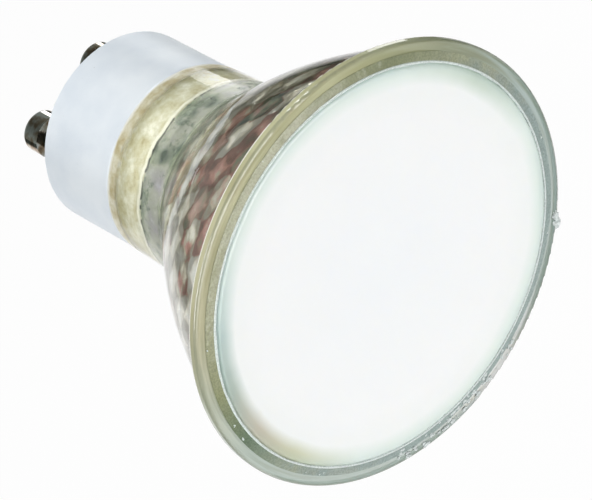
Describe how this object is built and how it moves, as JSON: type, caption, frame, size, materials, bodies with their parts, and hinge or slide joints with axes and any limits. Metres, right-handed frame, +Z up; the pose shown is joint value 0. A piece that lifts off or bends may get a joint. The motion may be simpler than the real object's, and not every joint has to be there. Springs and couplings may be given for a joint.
{
  "type": "halogen reflector bulb",
  "caption": "Mains halogen reflector bulb: faceted glass bowl with an opal front glass, on a white ceramic base with locking contact pins.",
  "frame": {"origin": "centre of the ceramic base's seat, the flat back face that meets the lampholder", "axes": "+Y along the lamp's axis, out of the base past the contact pins; the front glass looks along -Y; the two pins stand on X; +Z is up"},
  "size_m": [0.05, 0.0549, 0.05],
  "materials": {
    "pressed_glass": "clear pressed borosilicate, fire polished outside, faceted and mirror coated inside",
    "opal_glass": "opal white, satin etched",
    "clear_silicone": "clear glossy silicone bead with bubbles",
    "steatite_ceramic": "white steatite, pressed and fired, satin",
    "nickel_plated_pin": "bright nickel plate on turned brass",
    "quartz_glass": "clear fused quartz",
    "tungsten_wire": "drawn tungsten, coiled",
    "molybdenum_wire": "drawn molybdenum",
    "molybdenum_foil": "rolled foil",
    "nickel_wire": "drawn nickel",
    "lamp_cement": "yellowish lamp cement, cast and baked, matt"
  },
  "bodies": {
    "root": {"glass_reflector": "pressed_glass", "front_glass": "opal_glass", "rim_adhesive": "clear_silicone", "ceramic_base": "steatite_ceramic", "contact_pin_left": "nickel_plated_pin", "contact_pin_right": "nickel_plated_pin", "quartz_capsule": "quartz_glass", "filament": "tungsten_wire", "filament_lead_left": "molybdenum_wire", "filament_lead_right": "molybdenum_wire", "seal_foil_left": "molybdenum_foil", "seal_foil_right": "molybdenum_foil", "outer_lead_left": "nickel_wire", "outer_lead_right": "nickel_wire", "fuse_wire": "nickel_wire", "crimp_sleeve": "nickel_wire", "capsule_cement": "lamp_cement", "base_cement": "lamp_cement"}
  },
  "joints": []
}
